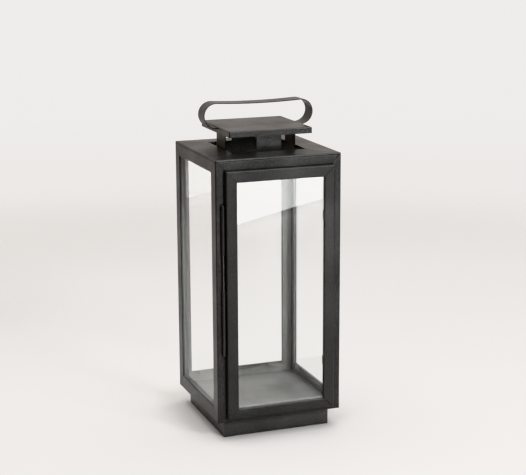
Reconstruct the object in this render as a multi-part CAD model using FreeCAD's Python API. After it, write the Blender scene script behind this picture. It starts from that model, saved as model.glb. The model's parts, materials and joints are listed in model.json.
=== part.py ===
import FreeCAD, Part
import os
from math import hypot, sqrt
from FreeCAD import Vector

# Candle lantern: a square glazed case of folded steel strips on a low plinth, with a hinged
# glass door at the front, a raised smoke cap and a strap handle. Millimetres. The origin is the
# centre of the plinth's underside, +Z is up, and the door faces -Y with its hinge at -X.

# ---- Driving dimensions ----

SHEET = 1.2              # steel sheet of the strips, plates and cap
FOLD = 1.4               # outer radius of a folded edge
SEAM_WIDTH = 0.6         # dressed weld line along each mitre, a shallow V
SEAM_DEPTH = 0.35
OVERCUT = 1.0            # how far a cutting solid runs past what it trims

CASE_WIDTH = 170.0       # the glazed case is square in plan
CASE_BOTTOM = 24.0
CASE_TOP = 368.6         # upper edge of the case's outer faces
STRIP = 18.0             # visible width of the case's strips
FRONT_LIP = 7.5          # depth of the folded lip round the door opening
SIDE_LIP = 4.0           # depth of the folded lip that the side and back glass lies against
CORNER_RADIUS = 1.6      # outer radius of the upright corners

PLINTH_INSET = 11.9      # the plinth stands in from the case on every side
PLINTH_FLANGE = 8.0      # welding flange at the plinth's top

GLASS = 2.0              # side and back glass
GLASS_OVERLAP = 4.0      # how far the glass reaches behind the strips

CLIP_SHEET = 1.0
CLIP_LENGTH = 12.0
CLIP_INSET = 14.0        # from the glass's upright edge to its nearest clip
CLIP_PLAY = 0.2
FLOOR_PLAY = 0.2         # between the floor plate and the case's walls

PLATE_SHEET = 2.0        # the top plate is heavier, with a rounded rim
PLATE_RIM = 1.6
VENT_SIDE = 99.8         # square chimney opening in the top plate
VENT_RISE = 1.5          # the top plate climbs this much towards the opening
COLLAR_BOTTOM = 350.6
COLLAR_FOLD = 0.9

CAP_SIDE = 113.0
CAP_TOP = 399.0
CAP_FLANGE = 8.0         # height of the cap's turned-down edge
SLOT_PLAY = 0.4          # the slots that the handle strap passes through are this much larger

STRAP_WIDTH = 34.0       # four flat straps carry the cap
STRAP_SHEET = 1.5
STRAP_FOOT = 8.0         # turned-in upper end of a strap
STRAP_TO_COLLAR = 2.4     # how far a strap runs down inside the collar

HANDLE_WIDTH = 24.0
HANDLE_SHEET = 1.2
HANDLE_TOP = 430.0
HANDLE_SPAN = 58.6       # from the middle to the centre of each round end
HANDLE_SAG = 1.8         # the upper run dips this much at its middle

DOOR_LEFT = -72.9
DOOR_RIGHT = 74.6
DOOR_BOTTOM = 29.6
DOOR_TOP = 354.2
DOOR_STRIP = 14.8
DOOR_SILL = 13.0         # the door's bottom strip is a little narrower
DOOR_FRONT = -91.0
DOOR_GAP = 0.3           # between the closed door and the case
DOOR_LIP = 4.0           # depth of the lip that the door's glass lies against
DOOR_GLASS = 1.6

HINGE_X = -76.2
HINGE_Y = -87.4
PIN_RADIUS = 1.3
TUBE_RADIUS = 2.1
RUNNING_CLEARANCE = 0.05
UPPER_TUBE = (247.6, 311.2)
LOWER_TUBE = (115.6, 179.5)
KNUCKLE = (179.7, 200.6)
PIN_END = 0.8            # the pin stands out of each outer tube
TUBE_CHAMFER = 0.4
TUBE_WELD = 2.0          # width of the weld between a tube and the case
TANG_SHEET = 1.0         # flat tongue from the knuckle to the door's edge
TANG_SETBACK = 0.9       # how far it lies behind the pin's centre
KNUCKLE_BEAD = 1.1       # radius of the weld bead at the knuckle's upper end

# ---- Derived dimensions ----

HALF = CASE_WIDTH / 2
PLATE_BOTTOM = CASE_TOP - PLATE_SHEET
VENT_TOP = CASE_TOP + VENT_RISE
VENT_HALF = VENT_SIDE / 2
GLASS_HALF = HALF - STRIP + GLASS_OVERLAP
GLASS_BOTTOM = CASE_BOTTOM + STRIP - GLASS_OVERLAP
GLASS_TOP = CASE_TOP - STRIP + GLASS_OVERLAP
FLOOR_BOTTOM = CASE_BOTTOM + SHEET
CAP_UNDERSIDE = CAP_TOP - SHEET
HANDLE_BOTTOM = CAP_UNDERSIDE - HANDLE_SHEET
COLLAR_INSIDE = VENT_HALF - SHEET
DOOR_BACK = -HALF - DOOR_GAP
UP = Vector(0, 0, 1)
SIDES = {"front": 0, "right": 90, "back": 180, "left": 270}

os.makedirs("parts", exist_ok=True)


def export(name, shape):
    shape.exportStep(os.path.join("parts", name + ".step"))


def turned(shape, degrees):
    """The shape turned about the vertical axis, from the front to another side."""
    copy = shape.copy()
    copy.rotate(Vector(), UP, degrees)
    return copy


def in_plan(u, v):
    return Vector(u, v, 0)


def in_front(u, v):
    return Vector(u, 0, v)


def in_section(u, v):
    return Vector(0, u, v)


def outline(corners, place):
    """A flat face through (u, v, radius) corners; a rounded corner is a right angle."""
    edges = []
    entries = []
    exits = []
    for index, (u, v, radius) in enumerate(corners):
        here = Vector(u, v, 0)
        before = Vector(*corners[index - 1][:2], 0) - here
        after = Vector(*corners[(index + 1) % len(corners)][:2], 0) - here
        before.normalize()
        after.normalize()
        entry = here + before * radius
        leave = here + after * radius
        middle = here + (before + after) * radius * (1 - 1 / sqrt(2))
        if radius:
            arc = Part.Arc(place(*entry[:2]), place(*middle[:2]), place(*leave[:2]))
            edges.append(arc.toShape())
        entries.append(entry)
        exits.append(leave)
    for index, leave in enumerate(exits):
        entry = entries[(index + 1) % len(entries)]
        edges.append(Part.LineSegment(place(*leave[:2]), place(*entry[:2])).toShape())
    return Part.Face(Part.Wire(Part.__sortEdges__(edges)))


def prism(points, place, start, run):
    """A solid with a polygon for its section, moved to start and run along a vector."""
    face = outline([(u, v, 0) for u, v in points], place)
    face.translate(start)
    return face.extrude(run)


def block(low, high):
    size = [high[axis] - low[axis] for axis in range(3)]
    return Part.makeBox(*size, Vector(*low))


def tube(outer, inner, low, high, x=0.0, y=0.0):
    """An upright round tube with its outer rims chamfered."""
    body = Part.makeCylinder(outer, high - low, Vector(x, y, low))
    rims = [edge for edge in body.Edges if len(edge.Vertexes) == 1]
    body = body.makeChamfer(TUBE_CHAMFER, rims)
    if inner:
        body = body.cut(Part.makeCylinder(inner, high - low, Vector(x, y, low)))
    return body


# ---- Case: four corner posts and eight rails, mitred ----

def mitre_cutter(lip):
    """Takes the front leg's lower end off below its mitre, in a post at the origin corner."""
    reach = STRIP + OVERCUT
    points = [
        (SHEET, -OVERCUT),
        (reach, -OVERCUT),
        (reach, reach),
        (SHEET, SHEET),
    ]
    return prism(points, in_front, Vector(0, -OVERCUT, 0), Vector(0, lip + 2 * OVERCUT, 0))


def seam(start, end, face_y):
    """Cutter for the V along a mitre on a front face, from start to end as (x, z)."""
    run = Vector(end[0] - start[0], 0, end[1] - start[1])
    across = Vector(-run.z, 0, run.x)
    across.normalize()
    origin = Vector(start[0], face_y, start[1])
    # The section is drawn in front of the face as well, so that the V opens fully onto it.
    widening = 1 + OVERCUT / SEAM_DEPTH
    mouth = across * (SEAM_WIDTH / 2 * widening)
    front = origin - Vector(0, OVERCUT, 0)
    corners = [front + mouth, front - mouth, origin + Vector(0, SEAM_DEPTH, 0)]
    return Part.Face(Part.makePolygon(corners + corners[:1])).extrude(run)


def case_seams():
    """The four seams of every side of the case, in one shape."""
    cutters = []
    for side in (-1, 1):
        for outer_z, inward in ((CASE_BOTTOM, 1), (CASE_TOP, -1)):
            start = (side * HALF, outer_z)
            end = (side * (HALF - STRIP), outer_z + inward * STRIP)
            cutters.append(seam(start, end, -HALF))
    copies = [turned(cutter, degrees) for cutter in cutters for degrees in SIDES.values()]
    return Part.makeCompound(copies)


def swapped(shape):
    """The shape mirrored so that x and y change places."""
    return shape.mirror(Vector(), Vector(1, -1, 0))


def corner_post(front_lip, side_lip):
    """The front left post: one folded angle with a lip along each upright edge."""
    section = [
        (0, 0, CORNER_RADIUS),
        (STRIP, 0, FOLD),
        (STRIP, front_lip, 0),
        (STRIP - SHEET, front_lip, 0),
        (STRIP - SHEET, SHEET, 0),
        (SHEET, SHEET, 0),
        (SHEET, STRIP - SHEET, 0),
        (side_lip, STRIP - SHEET, 0),
        (side_lip, STRIP, 0),
        (0, STRIP, FOLD),
    ]
    height = CASE_TOP - CASE_BOTTOM
    post = outline(section, in_plan).extrude(Vector(0, 0, PLATE_BOTTOM - CASE_BOTTOM))
    cutters = [mitre_cutter(front_lip), swapped(mitre_cutter(side_lip))]
    for cutter in cutters:
        post = post.cut(cutter)
        post = post.cut(cutter.mirror(Vector(0, 0, height / 2), UP))
    post.translate(Vector(-HALF, -HALF, CASE_BOTTOM))
    return post


def rail(low, high, low_return, high_return, wide_low):
    """A front rail: a folded channel, mitred to the posts and to the rails round the corner."""
    section = [
        (0, low, FOLD),
        (0, high, FOLD),
        (high_return, high, 0),
        (high_return, high - SHEET, 0),
        (SHEET, high - SHEET, 0),
        (SHEET, low + SHEET, 0),
        (low_return, low + SHEET, 0),
        (low_return, low, 0),
    ]
    bar = outline(section, in_section)
    bar.translate(Vector(-HALF, -HALF, 0))
    bar = bar.extrude(Vector(CASE_WIDTH, 0, 0))
    inner = HALF - STRIP
    if wide_low:
        outer = HALF - SHEET
        face = [
            (-outer, low),
            (outer, low),
            (outer, low + SHEET),
            (inner, high),
            (-inner, high),
            (-outer, low + SHEET),
        ]
    else:
        outer = HALF - PLATE_SHEET
        face = [(-outer, high), (outer, high), (inner, low), (-inner, low)]
    bar = bar.common(prism(face, in_front, Vector(0, -HALF, 0), Vector(0, STRIP, 0)))
    plan = [(-HALF, -HALF), (HALF, -HALF), (inner, -inner), (-inner, -inner)]
    return bar.common(prism(plan, in_plan, Vector(0, 0, low), Vector(0, 0, high - low)))


def make_case():
    seams = case_seams()
    front = corner_post(FRONT_LIP, SIDE_LIP).cut(seams)
    back = corner_post(SIDE_LIP, SIDE_LIP).mirror(Vector(), Vector(0, 1, 0)).cut(seams)
    across = Vector(1, 0, 0)
    export("post_front_left", front)
    export("post_front_right", front.mirror(Vector(), across))
    export("post_back_left", back)
    export("post_back_right", back.mirror(Vector(), across))
    for side, degrees in SIDES.items():
        lip = FRONT_LIP if side == "front" else SIDE_LIP
        bottom = rail(CASE_BOTTOM, CASE_BOTTOM + STRIP, SIDE_LIP, lip, True).cut(seams)
        top = rail(CASE_TOP - STRIP, PLATE_BOTTOM, lip, SIDE_LIP, False).cut(seams)
        export("bottom_rail_" + side, turned(bottom, degrees))
        export("top_rail_" + side, turned(top, degrees))


# ---- Plates and plinth ----

def square_corners(half):
    return [(-half, -half), (half, -half), (half, half), (-half, half)]


def square(half, z):
    """A closed square wire about the vertical axis."""
    corners = [Vector(x, y, z) for x, y in square_corners(half)]
    return Part.makePolygon(corners + corners[:1])


def upright_edges(shape):
    return [edge for edge in shape.Edges if abs(edge.tangentAt(edge.FirstParameter).z) > 0.5]


def make_top_plate():
    """One sheet on the case, rising slightly to the square chimney opening."""
    def hipped(half, level):
        ends = [square(half, level), square(VENT_HALF, level + VENT_RISE)]
        return Part.makeLoft(ends, True, True)

    rim = block((-HALF, -HALF, PLATE_BOTTOM), (HALF, HALF, CASE_TOP))
    upper = [edge for edge in rim.Edges if edge.BoundBox.ZMin > CASE_TOP - PLATE_RIM]
    rim = rim.makeFillet(PLATE_RIM, upper)
    plate = rim.fuse(hipped(HALF - PLATE_RIM, CASE_TOP))
    plate = plate.cut(hipped(HALF - STRIP, PLATE_BOTTOM))
    low, high = PLATE_BOTTOM - OVERCUT, VENT_TOP + OVERCUT
    hole = block((-VENT_HALF, -VENT_HALF, low), (VENT_HALF, VENT_HALF, high))
    plate = plate.cut(hole)
    plan = outline([(x, y, CORNER_RADIUS) for x, y in square_corners(HALF)], in_plan)
    plan.translate(Vector(0, 0, low))
    plate = plate.common(plan.extrude(Vector(0, 0, high - low)))
    export("top_plate", plate.removeSplitter())


def make_vent_collar():
    """Square collar that hangs from the opening and stiffens it."""
    high = PLATE_BOTTOM + VENT_RISE
    outside = block((-VENT_HALF, -VENT_HALF, COLLAR_BOTTOM), (VENT_HALF, VENT_HALF, high))
    outside = outside.makeFillet(COLLAR_FOLD, upright_edges(outside))
    half = COLLAR_INSIDE
    inside = block((-half, -half, COLLAR_BOTTOM), (half, half, high))
    export("vent_collar", outside.cut(inside))


def make_floor_and_plinth():
    wall = HALF - SHEET - FLOOR_PLAY
    floor = block((-wall, -wall, FLOOR_BOTTOM), (wall, wall, FLOOR_BOTTOM + SHEET))
    export("floor_plate", floor)
    half = HALF - PLINTH_INSET
    section = [
        (0, 0, 0),
        (0, FLOOR_BOTTOM, FOLD),
        (PLINTH_FLANGE, FLOOR_BOTTOM, 0),
        (PLINTH_FLANGE, FLOOR_BOTTOM - SHEET, 0),
        (SHEET, FLOOR_BOTTOM - SHEET, 0),
        (SHEET, 0, 0),
    ]
    skirt = outline(section, in_section)
    skirt.translate(Vector(-half, -half, 0))
    skirt = skirt.extrude(Vector(2 * half, 0, 0))
    inner = half - PLINTH_FLANGE
    plan = [(-half, -half), (half, -half), (inner, -inner), (-inner, -inner)]
    skirt = skirt.common(prism(plan, in_plan, Vector(), Vector(0, 0, FLOOR_BOTTOM)))
    for side, degrees in SIDES.items():
        export("plinth_" + side, turned(skirt, degrees))
    inside = half - SHEET
    export("plinth_bottom", block((-inside, -inside, 0), (inside, inside, SHEET)))


# ---- Side and back glass, with the clips that hold it ----

def clip(depth, edge_z, inward):
    """A bent tab on a front rail: a leg at the glass's edge and a finger over its inner face."""
    low = edge_z - inward * CLIP_PLAY
    foot = low - inward * CLIP_SHEET
    tip = low + inward * (GLASS_OVERLAP + CLIP_PLAY)
    inner = depth + GLASS + CLIP_PLAY
    section = [
        (SHEET, foot, 0),
        (inner + CLIP_SHEET, foot, 0),
        (inner + CLIP_SHEET, tip, 0),
        (inner, tip, 0),
        (inner, low, 0),
        (SHEET, low, 0),
    ]
    tab = outline(section, in_section)
    tab.translate(Vector(-CLIP_LENGTH / 2, -HALF, 0))
    return tab.extrude(Vector(CLIP_LENGTH, 0, 0))


def make_glazing():
    front = SIDE_LIP - HALF
    pane = block((-GLASS_HALF, front, GLASS_BOTTOM), (GLASS_HALF, front + GLASS, GLASS_TOP))
    middle = GLASS_HALF - CLIP_INSET - CLIP_LENGTH / 2
    tabs = []
    for x in (-middle, middle):
        for edge_z, inward in ((GLASS_BOTTOM, 1), (GLASS_TOP, -1)):
            tab = clip(SIDE_LIP, edge_z, inward)
            tab.translate(Vector(x, 0, 0))
            tabs.append(tab)
    clips = Part.makeCompound(tabs)
    for side in ("right", "back", "left"):
        export("glass_" + side, turned(pane, SIDES[side]))
        export("glass_clips_" + side, turned(clips, SIDES[side]))


# ---- Smoke cap, its straps and the handle ----

def make_cap():
    """A shallow folded tray, upside down, with a slot in two edges for the handle strap."""
    half = CAP_SIDE / 2
    bottom = CAP_TOP - CAP_FLANGE
    tray = block((-half, -half, bottom), (half, half, CAP_TOP))
    folded = [edge for edge in tray.Edges if edge.BoundBox.ZMax > CAP_TOP - FOLD]
    tray = tray.makeFillet(FOLD, folded)
    inside = half - SHEET
    tray = tray.cut(block((-inside, -inside, bottom), (inside, inside, CAP_UNDERSIDE)))
    slot_half = HANDLE_WIDTH / 2 + SLOT_PLAY
    end = half + OVERCUT
    slot = block((-end, -slot_half, HANDLE_BOTTOM - SLOT_PLAY), (end, slot_half, CAP_UNDERSIDE))
    export("cap", tray.cut(slot))


def cap_strap(top):
    """The front strap: from the collar's inner rim up to the cap, with its top end turned in."""
    bottom = CASE_TOP - STRAP_TO_COLLAR
    section = [
        (0, bottom, 0),
        (0, top, STRAP_SHEET),
        (STRAP_FOOT, top, 0),
        (STRAP_FOOT, top - STRAP_SHEET, 0),
        (STRAP_SHEET, top - STRAP_SHEET, 0),
        (STRAP_SHEET, bottom, 0),
    ]
    strap = outline(section, in_section)
    strap.translate(Vector(-STRAP_WIDTH / 2, -COLLAR_INSIDE, 0))
    return strap.extrude(Vector(STRAP_WIDTH, 0, 0))


def make_cap_straps():
    """The side straps stop lower, because the handle strap lies between them and the cap."""
    for side, degrees in SIDES.items():
        top = HANDLE_BOTTOM if side in ("left", "right") else CAP_UNDERSIDE
        export("cap_strap_" + side, turned(cap_strap(top), degrees))


def handle_loop(inset):
    """Outline of the strap loop in the XZ plane: round ends, flat below, slightly dipped above."""
    radius = (HANDLE_TOP - HANDLE_BOTTOM) / 2
    middle = HANDLE_TOP - radius
    # The dipped run is an arc that touches both round ends from above.
    drop = radius - HANDLE_SAG
    dip_radius = (HANDLE_SPAN ** 2 + drop ** 2 - radius ** 2) / (2 * HANDLE_SAG)
    dip_centre = middle + drop + dip_radius
    reach = hypot(HANDLE_SPAN, dip_centre - middle)
    inner = radius - inset
    touch_x = HANDLE_SPAN - HANDLE_SPAN / reach * inner
    touch_z = middle + (dip_centre - middle) / reach * inner
    bottom = Vector(HANDLE_SPAN, 0, middle - inner)
    end = Vector(HANDLE_SPAN + inner, 0, middle)
    touch = Vector(touch_x, 0, touch_z)
    dip = Vector(0, 0, middle + drop - inset)

    def mirrored(point):
        return Vector(-point.x, point.y, point.z)

    edges = [
        Part.LineSegment(mirrored(bottom), bottom).toShape(),
        Part.Arc(bottom, end, touch).toShape(),
        Part.Arc(touch, dip, mirrored(touch)).toShape(),
        Part.Arc(mirrored(touch), mirrored(end), mirrored(bottom)).toShape(),
    ]
    return Part.Face(Part.Wire(edges))


def make_handle():
    run = Vector(0, HANDLE_WIDTH, 0)
    start = Vector(0, -HANDLE_WIDTH / 2, 0)
    loops = []
    for inset in (0.0, HANDLE_SHEET):
        loop = handle_loop(inset)
        loop.translate(start)
        loops.append(loop.extrude(run))
    export("handle_strap", loops[0].cut(loops[1]))


# ---- Door and hinge ----

def door_strip(width, low_return, high_return, length, across_z):
    """A door strip's channel, run along Z, or along X when its section lies across Z."""
    section = [
        (0, 0, FOLD),
        (width, 0, FOLD),
        (width, high_return, 0),
        (width - SHEET, high_return, 0),
        (width - SHEET, SHEET, 0),
        (SHEET, SHEET, 0),
        (SHEET, low_return, 0),
        (0, low_return, 0),
    ]
    if across_z:
        return outline(section, lambda w, d: Vector(0, d, w)).extrude(Vector(length, 0, 0))
    return outline(section, in_plan).extrude(Vector(0, 0, length))


def make_door_frame():
    """Four channels with mitred corners; the outer edges are folded back to the case."""
    left = DOOR_LEFT + DOOR_STRIP
    right = DOOR_RIGHT - DOOR_STRIP
    sill = DOOR_BOTTOM + DOOR_SILL
    head = DOOR_TOP - DOOR_STRIP
    depth = DOOR_BACK - DOOR_FRONT
    height = DOOR_TOP - DOOR_BOTTOM
    width = DOOR_RIGHT - DOOR_LEFT
    outer = [
        (DOOR_LEFT, DOOR_BOTTOM),
        (DOOR_RIGHT, DOOR_BOTTOM),
        (DOOR_RIGHT, DOOR_TOP),
        (DOOR_LEFT, DOOR_TOP),
    ]
    inner = [(left, sill), (right, sill), (right, head), (left, head)]
    bottom_rail = door_strip(DOOR_SILL, depth, DOOR_LIP, width, True)
    right_stile = door_strip(DOOR_STRIP, DOOR_LIP, depth, height, False)
    top_rail = door_strip(DOOR_STRIP, DOOR_LIP, depth, width, True)
    left_stile = door_strip(DOOR_STRIP, depth, DOOR_LIP, height, False)
    strips = [
        ("door_rail_bottom", (DOOR_LEFT, DOOR_BOTTOM), bottom_rail),
        ("door_stile_right", (right, DOOR_BOTTOM), right_stile),
        ("door_rail_top", (DOOR_LEFT, head), top_rail),
        ("door_stile_left", (DOOR_LEFT, DOOR_BOTTOM), left_stile),
    ]
    seams = Part.makeCompound([seam(a, b, DOOR_FRONT) for a, b in zip(outer, inner)])
    for index, (name, (x, z), strip) in enumerate(strips):
        strip.translate(Vector(x, DOOR_FRONT, z))
        after = (index + 1) % 4
        face = [outer[index], outer[after], inner[after], inner[index]]
        mitre = prism(face, in_front, Vector(0, DOOR_FRONT, 0), Vector(0, depth, 0))
        export(name, strip.common(mitre).cut(seams))


def make_door_glazing():
    glass_front = DOOR_FRONT + DOOR_LIP
    glass_back = glass_front + DOOR_GLASS
    margin = DOOR_STRIP - GLASS_OVERLAP
    low = (DOOR_LEFT + margin, glass_front, DOOR_BOTTOM + DOOR_SILL - GLASS_OVERLAP)
    high = (DOOR_RIGHT - margin, glass_back, DOOR_TOP - margin)
    export("door_glass", block(low, high))
    # Tabs welded inside the stiles, with their fingers over the back of the glass.
    tabs = []
    fifth = (DOOR_TOP - DOOR_BOTTOM) / 5
    inner = glass_back + CLIP_PLAY
    for edge_x, inward in ((low[0], 1), (high[0], -1)):
        leg = edge_x - inward * CLIP_PLAY
        root = leg - inward * CLIP_SHEET
        tip = leg + inward * GLASS_OVERLAP
        section = [
            (root, DOOR_FRONT + SHEET, 0),
            (leg, DOOR_FRONT + SHEET, 0),
            (leg, inner, 0),
            (tip, inner, 0),
            (tip, inner + CLIP_SHEET, 0),
            (root, inner + CLIP_SHEET, 0),
        ]
        for z in (DOOR_BOTTOM + fifth, DOOR_TOP - fifth):
            tab = outline(section, in_plan)
            tab.translate(Vector(0, 0, z - CLIP_LENGTH / 2))
            tabs.append(tab.extrude(Vector(0, 0, CLIP_LENGTH)))
    export("door_glass_clips", Part.makeCompound(tabs))


def make_hinge():
    """Two tubes on the case hold the pin; the door's knuckle turns on it, resting on the lower."""
    weld_half = TUBE_WELD / 2
    for name, (low, high) in (("hinge_tube_upper", UPPER_TUBE), ("hinge_tube_lower", LOWER_TUBE)):
        bead = block(
            (HINGE_X - weld_half, HINGE_Y + PIN_RADIUS, low + TUBE_CHAMFER),
            (HINGE_X + weld_half, -HALF, high - TUBE_CHAMFER),
        )
        body = tube(TUBE_RADIUS, 0, low, high, HINGE_X, HINGE_Y).fuse(bead)
        bore = Part.makeCylinder(PIN_RADIUS, high - low, Vector(HINGE_X, HINGE_Y, low))
        export(name, body.cut(bore))

    pin = tube(PIN_RADIUS, 0, LOWER_TUBE[0] - PIN_END, UPPER_TUBE[1] + PIN_END, HINGE_X, HINGE_Y)
    export("hinge_pin", pin)

    low, high = KNUCKLE
    body = tube(TUBE_RADIUS, 0, low, high, HINGE_X, HINGE_Y)
    tang_front = HINGE_Y + TANG_SETBACK
    tang = block(
        (HINGE_X, tang_front, low + TANG_SHEET),
        (DOOR_LEFT, tang_front + TANG_SHEET, high - TANG_SHEET),
    )
    bead_z = high - 2 * KNUCKLE_BEAD
    bead = Part.makeSphere(KNUCKLE_BEAD, Vector(DOOR_LEFT - KNUCKLE_BEAD / 2, HINGE_Y, bead_z))
    bead = bead.cut(block((DOOR_LEFT, DOOR_FRONT, low), (0, -HALF, high)))
    bridge = block(
        (HINGE_X, HINGE_Y - KNUCKLE_BEAD / 2, bead_z - KNUCKLE_BEAD),
        (DOOR_LEFT, tang_front, bead_z + KNUCKLE_BEAD),
    )
    body = body.fuse([tang, bead, bridge])
    bore_radius = PIN_RADIUS + RUNNING_CLEARANCE
    bore = Part.makeCylinder(bore_radius, high - low, Vector(HINGE_X, HINGE_Y, low))
    export("door_knuckle", body.cut(bore).removeSplitter())


make_case()
make_top_plate()
make_vent_collar()
make_floor_and_plinth()
make_glazing()
make_cap()
make_cap_straps()
make_handle()
make_door_frame()
make_door_glazing()
make_hinge()
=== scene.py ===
import json
import math

import bmesh
import bpy
from mathutils import Matrix, Vector

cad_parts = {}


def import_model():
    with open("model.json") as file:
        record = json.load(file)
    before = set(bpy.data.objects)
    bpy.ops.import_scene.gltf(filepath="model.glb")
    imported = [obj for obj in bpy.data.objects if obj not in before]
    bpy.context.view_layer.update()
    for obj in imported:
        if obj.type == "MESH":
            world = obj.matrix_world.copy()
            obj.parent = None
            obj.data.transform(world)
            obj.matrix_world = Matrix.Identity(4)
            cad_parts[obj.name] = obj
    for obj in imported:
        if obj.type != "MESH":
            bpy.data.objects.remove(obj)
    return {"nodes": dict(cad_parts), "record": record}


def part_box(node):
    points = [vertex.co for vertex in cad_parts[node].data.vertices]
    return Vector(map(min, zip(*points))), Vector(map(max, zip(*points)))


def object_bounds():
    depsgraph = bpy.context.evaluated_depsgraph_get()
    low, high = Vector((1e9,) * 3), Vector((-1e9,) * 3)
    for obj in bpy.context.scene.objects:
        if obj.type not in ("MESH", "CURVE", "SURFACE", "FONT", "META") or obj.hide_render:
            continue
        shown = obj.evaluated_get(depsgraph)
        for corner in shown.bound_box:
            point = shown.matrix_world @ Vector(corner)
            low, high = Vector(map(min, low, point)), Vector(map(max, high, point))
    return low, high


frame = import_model()
nodes = frame["nodes"]
cad_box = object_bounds()

scene = bpy.context.scene
scene.view_settings.view_transform = "Khronos PBR Neutral"
scene.view_settings.look = "None"


# ---------------------------------------------------------------- node helpers
MIX_FACTOR, MIX_FIRST, MIX_SECOND, MIX_COLOUR_OUT = 0, 6, 7, 2   # the Mix node's sockets for colours


class NodeTree:
    """A node tree, built a node at a time."""

    def __init__(self, tree):
        self.tree = tree
        self.tree.nodes.clear()

    def node(self, kind, settings=None, **sockets):
        made = self.tree.nodes.new(kind)
        for key, value in (settings or {}).items():
            setattr(made, key, value)
        for key, value in sockets.items():
            self.feed(made.inputs[key.replace("_", " ")], value)
        return made

    def feed(self, socket, value):
        """Links an output to the socket, or sets the socket's own number or colour."""
        if isinstance(value, bpy.types.NodeSocket):
            self.tree.links.new(value, socket)
        else:
            socket.default_value = value

    def maths(self, operation, first, second, clamp=False):
        made = self.node("ShaderNodeMath", {"operation": operation, "use_clamp": clamp})
        self.feed(made.inputs[0], first)
        self.feed(made.inputs[1], second)
        return made.outputs[0]

    def blend(self, factor, first, second):
        """A colour between two: the first at factor 0, the second at factor 1."""
        made = self.node("ShaderNodeMix", {"data_type": "RGBA"})
        self.feed(made.inputs[MIX_FACTOR], factor)
        self.feed(made.inputs[MIX_FIRST], first)
        self.feed(made.inputs[MIX_SECOND], second)
        return made.outputs[MIX_COLOUR_OUT]


class Look(NodeTree):
    """A material whose patterns lie in the shared frame, in metres."""

    def __init__(self, name):
        self.material = bpy.data.materials.new(name)
        self.material.use_nodes = True
        super().__init__(self.material.node_tree)
        self.output = self.node("ShaderNodeOutputMaterial")
        self.coords = self.node("ShaderNodeTexCoord").outputs["Object"]

    def noise(self, scale, detail, roughness, stretch=None, distortion=0.0):
        where = self.coords
        if stretch:
            where = self.node("ShaderNodeMapping", Vector=where, Scale=stretch).outputs[0]
        made = self.node("ShaderNodeTexNoise", Vector=where, Scale=scale, Detail=detail,
                         Roughness=roughness, Distortion=distortion)
        return made.outputs["Fac"]

    def spread(self, value, low, high, start=0.3, end=0.7):
        """Maps the start..end part of a pattern to low..high, with soft ends."""
        made = self.node("ShaderNodeMapRange", {"interpolation_type": "SMOOTHSTEP"})
        for key, number in (("From Min", start), ("From Max", end), ("To Min", low), ("To Max", high)):
            made.inputs[key].default_value = number
        self.feed(made.inputs["Value"], value)
        return made.outputs["Result"]

    def bump(self, height, distance, strength, normal=None):
        made = self.node("ShaderNodeBump", Height=height, Distance=distance, Strength=strength)
        if normal is not None:
            self.feed(made.inputs["Normal"], normal)
        return made.outputs["Normal"]

    def within(self, reach, low, high, side_reach, side_share):
        """1 inside an upright square box round the axis, and side_share near its left and right walls."""
        axes = self.node("ShaderNodeSeparateXYZ", Vector=self.coords).outputs
        across = self.maths("ABSOLUTE", axes[0], 0)
        deep = self.maths("ABSOLUTE", axes[1], 0)
        inside = self.maths("LESS_THAN", self.maths("MAXIMUM", across, deep), reach)
        inside = self.maths("MULTIPLY", inside, self.maths("GREATER_THAN", axes[2], low))
        inside = self.maths("MULTIPLY", inside, self.maths("LESS_THAN", axes[2], high))
        clear = self.maths("LESS_THAN", across, side_reach)
        share = self.maths("ADD", self.maths("MULTIPLY", clear, 1 - side_share), side_share)
        return self.maths("MULTIPLY", inside, share)

    def finish(self, shader):
        """Makes a shader node the material's surface, and gives the material back."""
        self.feed(self.output.inputs["Surface"], shader.outputs[0])
        return self.material

    def finish_mixed(self, factor, first, second):
        """As finish, with two shader nodes: the first at factor 0, the second at factor 1."""
        made = self.node("ShaderNodeMixShader")
        self.feed(made.inputs[0], factor)
        self.feed(made.inputs[1], first.outputs[0])
        self.feed(made.inputs[2], second.outputs[0])
        return self.finish(made)


def shade(colour, share=1.0):
    """A colour made darker or lighter by the share, with the fourth number that a socket takes."""
    return (*[channel * share for channel in colour], 1)


# ------------------------------------------------------------------- materials
# The patterns' scales, in units to the metre: a higher number is a finer pattern.
CLOUDS, RUBS, RUNS, GRAIN = 14.0, 60.0, 55.0, 560.0
ORANGE_PEEL, WAVES = 420.0, 28.0
STREAKS, SPOTS = 300.0, 180.0
GLASS_WAVES, SMEARS = 9.0, 22.0
TOOTH = 700.0

RUN_STRETCH = (1, 1, 0.06)        # runs and streaks are drawn out upwards
STREAK_STRETCH = (1, 1, 0.05)
DARKER, LIGHTER = 0.66, 1.38      # the range of a paint's tone round its colour
THIN_RUN_TONE = 0.72                  # the tone of the inner faces between the runs
RUB_SHARE = 0.5                   # how far a rubbed spot goes towards the worn colour
RUB_ROUGHER = 0.08
GRAIN_SHEEN = 0.14                # how far the grain moves the sheen, either way
CORNER_SHADE_REACH = 0.009              # how far the painted shade in a corner reaches
SHADED_CORNER_SHEEN = 0.12               # what a deeply shaded corner keeps of the sheen
CORNER_SHADE_SAMPLES = 6

# The faces inside the case lie behind its outer skin, from the floor plate up to the top plate.
SKIN = 0.0008
LIP = 0.0028                      # the left and right lips lie nearer to the skin than this
LIP_SHARE = 0.3                   # and have less of the lighter inner colour
UNDER_FLOOR, INTO_TOP = 0.0002, 0.0004
case_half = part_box("top_plate")[1].x
INNER_FACES = {
    "reach": case_half - SKIN,
    "low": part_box("floor_plate")[0].z - UNDER_FLOOR,
    "high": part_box("top_plate")[0].z + INTO_TOP,
    "side_reach": case_half - LIP,
    "side_share": LIP_SHARE,
}


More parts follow.
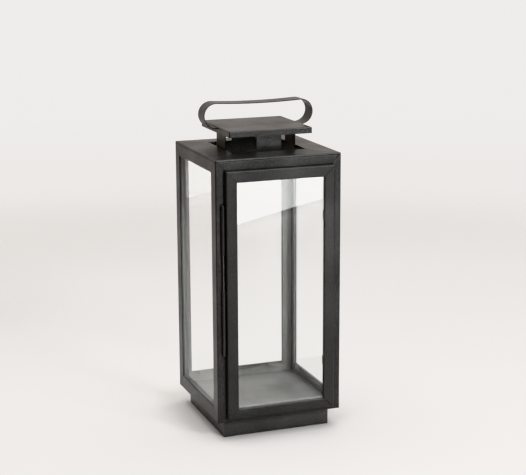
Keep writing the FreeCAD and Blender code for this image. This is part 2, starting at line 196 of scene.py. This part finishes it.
def paint(name, colour, worn, roughness=(0.29, 0.39), specular=0.5, mottle=0.5, inner=None):
    """Satin black paint: orange peel, a fine grain, cloudy patches, rubbed spots, and painted shade that
    dims the sheen in each corner and crease.

    With an inner colour, the faces inside the case get lighter upright runs of that colour.
    """
    look = Look(name)
    clouds = look.noise(CLOUDS, 3.0, 0.55)
    grain = look.spread(look.noise(GRAIN, 3.0, 0.75), 0, 1, 0.36, 0.64)
    rubs = look.noise(RUBS, 5.0, 0.7, distortion=0.4)

    cloud_part = look.maths("MULTIPLY", look.spread(clouds, 0, 1), 1 - mottle)
    tint = look.maths("ADD", cloud_part, look.maths("MULTIPLY", grain, mottle))
    base = look.blend(tint, shade(colour, DARKER), shade(colour, LIGHTER))
    base = look.blend(look.spread(rubs, 0, RUB_SHARE, 0.62, 0.74), base, shade(worn))
    if inner:
        # The faces inside the case take the lighter inner colour, in upright runs.
        runs = look.noise(RUNS, 4.0, 0.6, stretch=RUN_STRETCH)
        inner_runs = look.blend(look.spread(runs, 0, 1, 0.35, 0.65), shade(inner, THIN_RUN_TONE), shade(inner))
        base = look.blend(look.within(**INNER_FACES), base, inner_runs)

    smoothest, roughest = roughness
    rub_part = look.maths("MULTIPLY", look.spread(rubs, 0, 1, 0.6, 0.75), RUB_ROUGHER)
    gloss = look.maths("ADD", look.spread(clouds, roughest, smoothest), rub_part)

    normal = look.bump(look.noise(ORANGE_PEEL, 2.0, 0.5), 0.0001, 0.8)
    normal = look.bump(grain, 0.00003, 0.5, normal)
    normal = look.bump(look.noise(WAVES, 2.0, 0.4), 0.0006, 0.25, normal)

    # Painted shade: ambient occlusion dims the sheen in each corner, crease and gap, and under overhangs.
    corner_shade = look.node("ShaderNodeAmbientOcclusion", {"samples": CORNER_SHADE_SAMPLES}, Distance=CORNER_SHADE_REACH)
    unshaded_part = look.spread(corner_shade.outputs["AO"], SHADED_CORNER_SHEEN, 1, 0.1, 0.75)
    grain_part = look.spread(grain, specular * (1 - GRAIN_SHEEN), specular * (1 + GRAIN_SHEEN), 0, 1)
    sheen = look.maths("MULTIPLY", unshaded_part, grain_part)

    body = look.node("ShaderNodeBsdfPrincipled", Base_Color=base, Roughness=gloss,
                     Specular_IOR_Level=sheen, Normal=normal)
    return look.finish(body)


def steel(name, colour, roughness):
    """Bare dull steel with drawn streaks."""
    look = Look(name)
    streaks = look.noise(STREAKS, 3.0, 0.6, stretch=STREAK_STRETCH)
    spots = look.noise(SPOTS, 3.0, 0.6)
    base = look.blend(look.spread(spots, 0, 1), shade(colour, 0.75), shade(colour))
    uneven = look.spread(streaks, roughness - 0.08, roughness + 0.1)
    body = look.node("ShaderNodeBsdfPrincipled", Base_Color=base, Roughness=uneven, Metallic=1.0,
                     Normal=look.bump(streaks, 0.00004, 0.5))
    return look.finish(body)


def glass(name, ior):
    """Clear, slightly wavy window glass, which lets the lights through to what stands behind it."""
    look = Look(name)
    waves = look.bump(look.noise(GLASS_WAVES, 1.0, 0.3), 0.0003, 0.12)
    smears = look.noise(SMEARS, 4.0, 0.6, distortion=0.8)
    pane = look.node("ShaderNodeBsdfPrincipled", Base_Color=(0.985, 0.992, 0.99, 1), IOR=ior,
                     Roughness=look.spread(smears, 0.0, 0.03, 0.55, 0.8), Transmission_Weight=1.0,
                     Normal=waves)
    clear = look.node("ShaderNodeBsdfTransparent", Color=(0.93, 0.94, 0.935, 1))
    return look.finish_mixed(look.node("ShaderNodeLightPath").outputs["Is Shadow Ray"], pane, clear)


INSIDE = (0.215, 0.212, 0.203)
FINISHES = {
    "case_paint": paint("case_paint", (0.027, 0.0269, 0.0265), (0.066, 0.063, 0.060), inner=INSIDE),
    "door_paint": paint("door_paint", (0.026, 0.026, 0.0257), (0.062, 0.060, 0.058)),
    "base_paint": paint("base_paint", (0.060, 0.0595, 0.058), (0.10, 0.098, 0.094)),
    "cap_paint": paint("cap_paint", (0.031, 0.0305, 0.0298), (0.07, 0.067, 0.063)),
    "hinge_steel": paint("hinge_steel", (0.032, 0.0315, 0.031), (0.08, 0.077, 0.073),
                         roughness=(0.25, 0.34), specular=0.6),
    "clip_steel": paint("clip_steel", (0.16, 0.158, 0.15), (0.24, 0.236, 0.225)),
    "glass": glass("glass", 1.22),
}
for entry in frame["record"]["subparts"]:
    data = nodes[entry["node"]].data
    data.materials.clear()
    data.materials.append(FINISHES[entry["material_slot"]])

# Painted shade: a rougher, less glossy copy of the cap paint stands in for the shade on the straps under
# the cap.
shaded_strap = paint("shaded_strap", (0.040, 0.042, 0.040), (0.11, 0.11, 0.108),
                    roughness=(0.4, 0.5), specular=0.4)
OWN_FINISHES = {
    "hinge_pin": steel("pin_steel", (0.15, 0.147, 0.143), 0.36),
    "door_glass": glass("door_glass", 1.34),
    # Painted reflection: a light grey colour on the black floor plate stands in for the bright
    # surroundings mirrored in it, with a fine mottle.
    "floor_plate": paint("floor_painted_reflection", (0.15, 0.148, 0.142), (0.22, 0.216, 0.206),
                         roughness=(0.4, 0.5), mottle=0.35),
    # Painted shade: a rougher, less glossy paint stands in for the shade inside the collar under the cap,
    # with lighter rubbed speckles.
    "vent_collar": paint("shaded_collar", (0.056, 0.057, 0.055), (0.20, 0.199, 0.19),
                         roughness=(0.5, 0.65), specular=0.35),
    "cap_strap_back": shaded_strap,
    "cap_strap_right": shaded_strap,
}
for name, material in OWN_FINISHES.items():
    nodes[name].data.materials[0] = material


# ----------------------------------------------------------------------- stage
FLOOR_RADIUS = 2.1
FLOOR_SIDES = 96
FLOOR_FADE = (0.75, 2.0)          # from the axis: where the paper starts to fade, and where it is gone
FLOOR_DROP = 0.0002               # how far the paper lies below the plinth

# What the eye sees round the stage, by height; and what surfaces are lit by and mirror, front to back.
SEEN_HEIGHTS = (-0.5, 0.1)
SEEN = [(0.0, (0.86, 0.83, 0.80)), (0.45, (0.857, 0.826, 0.795)), (0.50, (0.875, 0.846, 0.82)),
        (0.545, (0.935, 0.91, 0.89)), (0.60, (0.99, 0.97, 0.955)), (1.0, (1.0, 0.985, 0.975))]
ROOM_DEPTHS = (-1, 1)
ROOM = [(0.0, (0.06, 0.06, 0.06)), (0.4, (0.18, 0.175, 0.17)),
        (0.62, (0.60, 0.565, 0.535)), (1.0, (0.70, 0.645, 0.60))]

# Each light's centre, what it aims at, its width and height, its power in watts and its colour.
WHITE, WARM = (1, 1, 1), (1.0, 0.98, 0.95)
LIGHTS = {
    "panel": ((0.5105, -1.402, 0.085), (1.0885, -0.586, 0.085), (0.44, 0.16), 2.5, WHITE),
    "key_right": ((0.85, -2.15, 1.4), (0, 0, 0.2), (0.8, 0.8), 33, WHITE),
    "fill_left": ((-1.9, -1.5, 1.6), (0, 0, 0.2), (1.2, 1.2), 10, WARM),
    "overhead": ((0.1, -0.1, 2.4), (0.1, -0.1, 0), (2.2, 2.2), 38, WHITE),
}


def paper():
    """Pale paper that fades out towards the floor's rim."""
    look = Look("paper")
    body = look.node("ShaderNodeBsdfPrincipled", Base_Color=shade((0.87, 0.855, 0.845)), Roughness=0.9,
                     Specular_IOR_Level=0.15, Normal=look.bump(look.noise(TOOTH, 2.0, 0.6), 0.0001, 0.15))
    away = look.node("ShaderNodeVectorMath", {"operation": "LENGTH"})
    look.feed(away.inputs[0], look.coords)
    fade = look.spread(away.outputs["Value"], 0, 1, *FLOOR_FADE)
    return look.finish_mixed(fade, body, look.node("ShaderNodeBsdfTransparent"))


def floor():
    """A round sheet of paper under the lantern."""
    mesh = bpy.data.meshes.new("floor")
    disc = bmesh.new()
    bmesh.ops.create_circle(disc, cap_ends=True, radius=FLOOR_RADIUS, segments=FLOOR_SIDES)
    disc.to_mesh(mesh)
    disc.free()
    mesh.materials.append(paper())
    made = bpy.data.objects.new("floor", mesh)
    scene.collection.objects.link(made)
    made.location.z = cad_box[0].z - FLOOR_DROP


def ramp(tree, source, span, stops):
    """A colour that runs through the stops while the source goes from span's first number to its last."""
    place = tree.node("ShaderNodeMapRange", From_Min=span[0], From_Max=span[1], Value=source)
    tones = tree.node("ShaderNodeValToRGB", Fac=place.outputs["Result"])
    elements = tones.color_ramp.elements
    while len(elements) < len(stops):
        elements.new(0.5)
    for element, (position, tone) in zip(elements, stops):
        element.position = position
        element.color = shade(tone)
    return tones.outputs["Color"]


def world():
    """Pale paper all round to the eye; to the surfaces, a room that is bright behind and dim in front."""
    made = bpy.data.worlds.new("studio")
    scene.world = made
    made.use_nodes = True
    tree = NodeTree(made.node_tree)
    direction = tree.node("ShaderNodeTexCoord").outputs["Generated"]
    axes = tree.node("ShaderNodeSeparateXYZ", Vector=direction).outputs
    seen = ramp(tree, axes["Z"], SEEN_HEIGHTS, SEEN)
    room = ramp(tree, axes["Y"], ROOM_DEPTHS, ROOM)
    path = tree.node("ShaderNodeLightPath").outputs
    bounced = tree.maths("MAXIMUM", path["Is Diffuse Ray"], path["Is Glossy Ray"])
    # A ray that passed through glass is marked as glossy too, and has to see the paper.
    bounced = tree.maths("SUBTRACT", bounced, path["Is Transmission Ray"], clamp=True)
    back = tree.node("ShaderNodeBackground", Color=tree.blend(bounced, seen, room))
    tree.node("ShaderNodeOutputWorld", Surface=back.outputs[0])


def softbox(name, centre, aim, size, power, colour):
    light = bpy.data.lights.new(name, "AREA")
    light.shape = "RECTANGLE"
    light.size, light.size_y = size
    light.energy = power
    light.color = colour
    made = bpy.data.objects.new(name, light)
    made.location = centre
    made.rotation_euler = (Vector(aim) - Vector(centre)).to_track_quat("-Z", "Y").to_euler()
    made.visible_camera = False
    scene.collection.objects.link(made)


floor()
world()
for name, settings in LIGHTS.items():
    softbox(name, *settings)


# ---------------------------------------------------------------------- camera
AZIMUTH = math.radians(-20.206)   # from straight in front, towards the right
ELEVATION = math.radians(12.885)
ROLL = math.radians(-0.2775)
DISTANCE = 1.8859
TARGET = Vector((0.00917, 0, 0.24513))
LENS, SENSOR = 96.72, 36.0        # millimetres
NEAR, FAR = 0.05, 60


def camera():
    back = Vector((math.sin(AZIMUTH) * math.cos(ELEVATION),
                   -math.cos(AZIMUTH) * math.cos(ELEVATION),
                   math.sin(ELEVATION)))
    level_right = (-back).cross(Vector((0, 0, 1))).normalized()
    level_up = level_right.cross(-back)
    right = level_right * math.cos(ROLL) + level_up * math.sin(ROLL)
    up = level_up * math.cos(ROLL) - level_right * math.sin(ROLL)
    data = bpy.data.cameras.new("camera")
    data.lens = LENS
    data.sensor_width = SENSOR
    data.clip_start = NEAR
    data.clip_end = FAR
    made = bpy.data.objects.new("camera", data)
    turn = Matrix((right, up, back)).transposed().to_4x4()
    made.matrix_world = Matrix.Translation(TARGET + back * DISTANCE) @ turn
    scene.collection.objects.link(made)
    scene.camera = made


camera()
